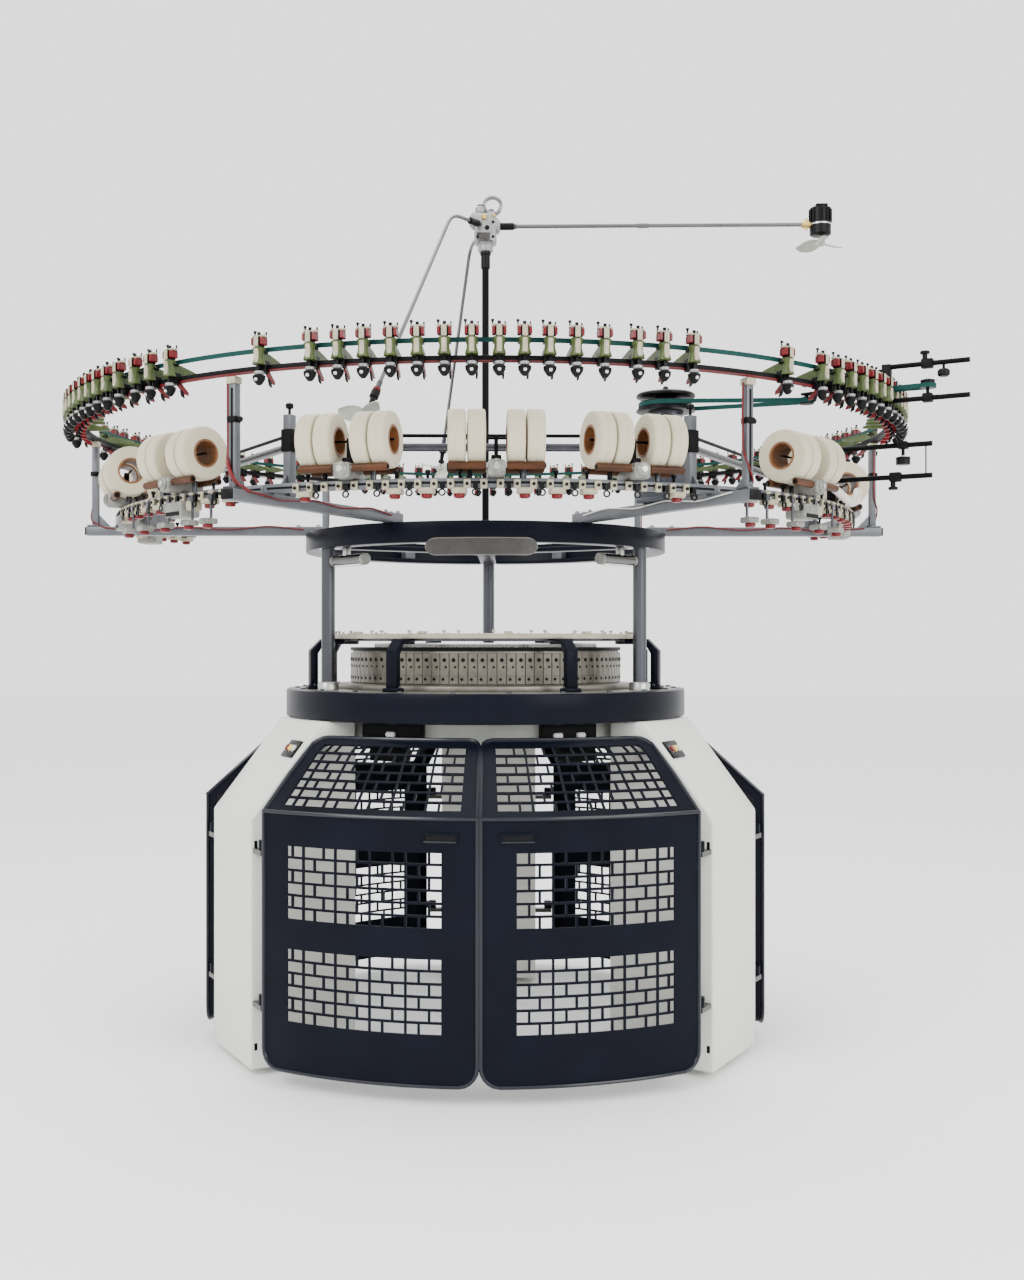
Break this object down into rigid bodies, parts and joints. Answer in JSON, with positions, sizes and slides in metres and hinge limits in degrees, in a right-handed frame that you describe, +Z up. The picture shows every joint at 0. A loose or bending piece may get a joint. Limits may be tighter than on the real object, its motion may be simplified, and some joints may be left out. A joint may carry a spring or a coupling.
{
  "type": "circular knitting machine",
  "caption": "Circular knitting machine: closed base on three legs with hinged grille doors, needle cylinder, yarn guide ring, raised feeder ring, elastane unwinders and a rotary blower.",
  "frame": {"origin": "on the floor, on the axis of the needle cylinder", "axes": "+Z up along the cylinder's axis; the front door pair faces -Y; +X is to the right of someone who looks at the front"},
  "size_m": [2.7965, 2.7976, 2.8443],
  "materials": {
    "grey_tube": "silver-grey paint on steel tube",
    "black_iron": "black painted casting",
    "navy_bed": "dark navy paint, semi-gloss",
    "tensioner_steel": "blackened steel bar",
    "blower_tube": "plain tube and grey motor",
    "blower_paint": "light grey paint",
    "red_plastic": "gloss red plastic",
    "white_plastic": "gloss white plastic",
    "yellow_plastic": "gloss yellow plastic",
    "ground_steel": "ground steel cam segments",
    "turned_steel": "turned steel",
    "nut_steel": "turned steel nut",
    "navy_casting": "dark navy paint, semi-gloss",
    "navy_paint": "dark navy paint, semi-gloss",
    "hinge_steel": "dark painted steel",
    "gearbox_paint": "blue-grey paint",
    "pulley_aluminium": "turned aluminium",
    "belt_rubber": "flat teal-green rubber belt",
    "feeder_plastic": "beige, red, green and black moulded plastic",
    "chrome_rail": "chromed tube",
    "lamp_tube": "white lamp tube",
    "cream_paint": "semi-gloss cream paint",
    "foot_steel": "plain dark iron",
    "mast_steel": "blackened steel rod",
    "bright_steel": "turned and ground steel",
    "fan_plastic": "pale moulded plastic",
    "roller_plastic": "black plastic roller",
    "bobbin_plastic": "white wound yarn on brown cores, grey gear heads",
    "cream_casting": "cream paint on cast ring, its brackets navy"
  },
  "bodies": {
    "frame": {"arm_front_left": "grey_tube", "arm_front_right": "grey_tube", "arm_left": "grey_tube", "arm_rear_left": "grey_tube", "arm_rear_right": "grey_tube", "arm_right": "grey_tube", "bearing_hub": "black_iron", "bed_ring": "navy_bed", "belt_tensioner_lower": "tensioner_steel", "belt_tensioner_upper": "tensioner_steel", "cam_ring": "ground_steel", "column_left": "turned_steel", "column_nuts": "nut_steel", "column_rear": "turned_steel", "column_right": "turned_steel", "crown_ring": "navy_casting", "door_hinges": "hinge_steel", "drive_gearbox": "gearbox_paint", "feeder_belts": "belt_rubber", "feeder_ring_front": "feeder_plastic", "feeder_ring_front_left": "feeder_plastic", "feeder_ring_front_right": "feeder_plastic", "feeder_ring_rear": "feeder_plastic", "feeder_ring_rear_left": "feeder_plastic", "feeder_ring_rear_right": "feeder_plastic", "guard_rails": "chrome_rail", "lamp_left": "lamp_tube", "lamp_right": "lamp_tube", "leg_left": "cream_paint", "leg_rear": "cream_paint", "leg_right": "cream_paint", "levelling_feet": "foot_steel", "mast": "mast_steel", "unwinder_bank_front": "bobbin_plastic", "unwinder_bank_left": "bobbin_plastic", "unwinder_bank_right": "bobbin_plastic", "yarn_guide_ring": "cream_casting"},
    "cylinder": {"needle_cylinder": "bright_steel"},
    "pulley": {"drive_pulley": "pulley_aluminium"},
    "upper_roller": {"tension_roller_upper": "roller_plastic"},
    "lower_roller": {"tension_roller_lower": "roller_plastic"},
    "blower": {"blower_head": "blower_paint", "blower_arm_long": "blower_tube", "blower_arm_front": "blower_tube", "blower_arm_rear": "blower_tube"},
    "fan_long": {"propeller_long": "fan_plastic"},
    "fan_front": {"propeller_front": "fan_plastic"},
    "fan_rear": {"propeller_rear": "fan_plastic"},
    "button_red_left": {"button_red_left": "red_plastic"},
    "button_red_right": {"button_red_right": "red_plastic"},
    "button_white_left": {"button_white_left": "white_plastic"},
    "button_white_right": {"button_white_right": "white_plastic"},
    "button_yellow_left": {"button_yellow_left": "yellow_plastic"},
    "button_yellow_right": {"button_yellow_right": "yellow_plastic"},
    "door_front_a": {"door_front_a": "navy_paint"},
    "door_front_b": {"door_front_b": "navy_paint"},
    "door_left_a": {"door_left_a": "navy_paint"},
    "door_left_b": {"door_left_b": "navy_paint"},
    "door_right_a": {"door_right_a": "navy_paint"},
    "door_right_b": {"door_right_b": "navy_paint"}
  },
  "joints": [
    {"name": "cylinder_turn", "type": "hinge", "parent": "frame", "child": "cylinder", "pos_m": [0, 0, 1.15], "axis": [0, 0, 1], "continuous": true},
    {"name": "pulley_turn", "type": "hinge", "parent": "frame", "child": "pulley", "pos_m": [0.5283, -0.81351, 1.98], "axis": [0, 0, 1], "continuous": true},
    {"name": "upper_roller_turn", "type": "hinge", "parent": "frame", "child": "upper_roller", "pos_m": [1.29693, -0.713, 2.05], "axis": [0, 0, 1], "continuous": true},
    {"name": "lower_roller_turn", "type": "hinge", "parent": "frame", "child": "lower_roller", "pos_m": [1.23559, -0.67927, 1.84], "axis": [0, 0, 1], "continuous": true},
    {"name": "blower_turn", "type": "hinge", "parent": "frame", "child": "blower", "pos_m": [0, 0, 2.7], "axis": [0, 0, 1], "continuous": true},
    {"name": "fan_long_turn", "type": "hinge", "parent": "blower", "child": "fan_long", "pos_m": [1.1444, 0, 2.6846], "axis": [0, 0, -1], "continuous": true},
    {"name": "fan_front_turn", "type": "hinge", "parent": "blower", "child": "fan_front", "pos_m": [-0.34304, -0.59417, 2.00141], "axis": [-0.2733, -0.4734, -0.8374], "continuous": true},
    {"name": "fan_rear_turn", "type": "hinge", "parent": "blower", "child": "fan_rear", "pos_m": [-0.18911, 0.65951, 2.00141], "axis": [-0.1507, 0.5255, -0.8374], "continuous": true},
    {"name": "door_front_b_swing", "type": "hinge", "parent": "frame", "child": "door_front_b", "pos_m": [0.6472, -0.64458, 0.46], "axis": [0, 0, 1], "range_deg": [0, 100]},
    {"name": "door_front_a_swing", "type": "hinge", "parent": "frame", "child": "door_front_a", "pos_m": [-0.6472, -0.64458, 0.46], "axis": [0, 0, 1], "range_deg": [-100, 0]},
    {"name": "door_right_b_swing", "type": "hinge", "parent": "frame", "child": "door_right_b", "pos_m": [0.23462, 0.88278, 0.46], "axis": [0, 0, 1], "range_deg": [0, 100]},
    {"name": "door_right_a_swing", "type": "hinge", "parent": "frame", "child": "door_right_a", "pos_m": [0.88182, -0.2382, 0.46], "axis": [0, 0, 1], "range_deg": [-100, 0]},
    {"name": "door_left_b_swing", "type": "hinge", "parent": "frame", "child": "door_left_b", "pos_m": [-0.88182, -0.2382, 0.46], "axis": [0, 0, 1], "range_deg": [0, 100]},
    {"name": "door_left_a_swing", "type": "hinge", "parent": "frame", "child": "door_left_a", "pos_m": [-0.23462, 0.88278, 0.46], "axis": [0, 0, 1], "range_deg": [-100, 0]},
    {"name": "button_red_left_press", "type": "slide", "parent": "frame", "child": "button_red_left", "axis": [0.6779, 0.3914, -0.6224], "range_m": [0, 0.003], "stiffness_N_per_m": 300},
    {"name": "button_yellow_left_press", "type": "slide", "parent": "frame", "child": "button_yellow_left", "axis": [0.6779, 0.3914, -0.6224], "range_m": [0, 0.003], "stiffness_N_per_m": 300},
    {"name": "button_white_left_press", "type": "slide", "parent": "frame", "child": "button_white_left", "axis": [0.6779, 0.3914, -0.6224], "range_m": [0, 0.003], "stiffness_N_per_m": 300},
    {"name": "button_red_right_press", "type": "slide", "parent": "frame", "child": "button_red_right", "axis": [-0.6779, 0.3914, -0.6224], "range_m": [0, 0.003], "stiffness_N_per_m": 300},
    {"name": "button_yellow_right_press", "type": "slide", "parent": "frame", "child": "button_yellow_right", "axis": [-0.6779, 0.3914, -0.6224], "range_m": [0, 0.003], "stiffness_N_per_m": 300},
    {"name": "button_white_right_press", "type": "slide", "parent": "frame", "child": "button_white_right", "axis": [-0.6779, 0.3914, -0.6224], "range_m": [0, 0.003], "stiffness_N_per_m": 300}
  ],
  "couplings": [
    {"joint": "pulley_turn", "follows": "cylinder_turn", "ratio": -4},
    {"joint": "upper_roller_turn", "follows": "cylinder_turn", "ratio": -14.1}
  ]
}
